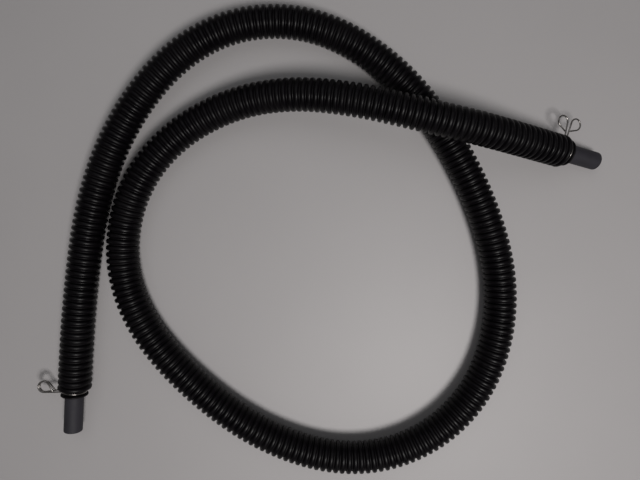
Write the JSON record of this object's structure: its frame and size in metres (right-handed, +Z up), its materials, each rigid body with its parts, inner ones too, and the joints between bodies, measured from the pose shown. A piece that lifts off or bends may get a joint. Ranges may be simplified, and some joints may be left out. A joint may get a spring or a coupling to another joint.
{
  "type": "pool cleaner hose",
  "caption": "Sheathed connecting hose: smooth inner hose in a corrugated sleeve, with a sprung wire clip round each end, lying in a loop that crosses itself.",
  "frame": {"origin": "middle of the footprint, on the surface that the hose lies on", "axes": "+Z up; +X along the lay's longer side, towards the end that has crossed over; +Y across it"},
  "size_m": [0.5703, 0.4724, 0.066],
  "materials": {
    "sleeve": "black polypropylene, satin, blow-moulded",
    "hose": "dark grey extruded rubber, matt",
    "bush": "black moulded rubber, matt",
    "spring_wire": "drawn spring steel wire, bright"
  },
  "bodies": {
    "hose": {"inner_hose": "hose", "corrugated_sleeve": "sleeve", "left_bush": "bush", "right_bush": "bush"},
    "left_clip_upper": {"left_clip_upper_half": "spring_wire"},
    "left_clip_lower": {"left_clip_lower_half": "spring_wire"},
    "right_clip_upper": {"right_clip_upper_half": "spring_wire"},
    "right_clip_lower": {"right_clip_lower_half": "spring_wire"}
  },
  "joints": [
    {"name": "left_clip_swivel", "type": "hinge", "parent": "hose", "child": "left_clip_upper", "pos_m": [-0.25121, -0.14923, 0.016], "axis": [-0.0626, -0.998, 0], "continuous": true},
    {"name": "left_clip_squeeze", "type": "hinge", "parent": "left_clip_upper", "child": "left_clip_lower", "pos_m": [-0.23993, -0.14994, 0.016], "axis": [0.0626, 0.998, 0], "range_deg": [0, 3], "stiffness_Nm_per_rad": 0.6},
    {"name": "right_clip_swivel", "type": "hinge", "parent": "hose", "child": "right_clip_upper", "pos_m": [0.24025, 0.09281, 0.02115], "axis": [0.9371, -0.1888, -0.2937], "continuous": true},
    {"name": "right_clip_squeeze", "type": "hinge", "parent": "right_clip_upper", "child": "right_clip_lower", "pos_m": [0.23822, 0.08171, 0.02178], "axis": [0.9371, -0.1888, -0.2937], "range_deg": [0, 3], "stiffness_Nm_per_rad": 0.6}
  ]
}
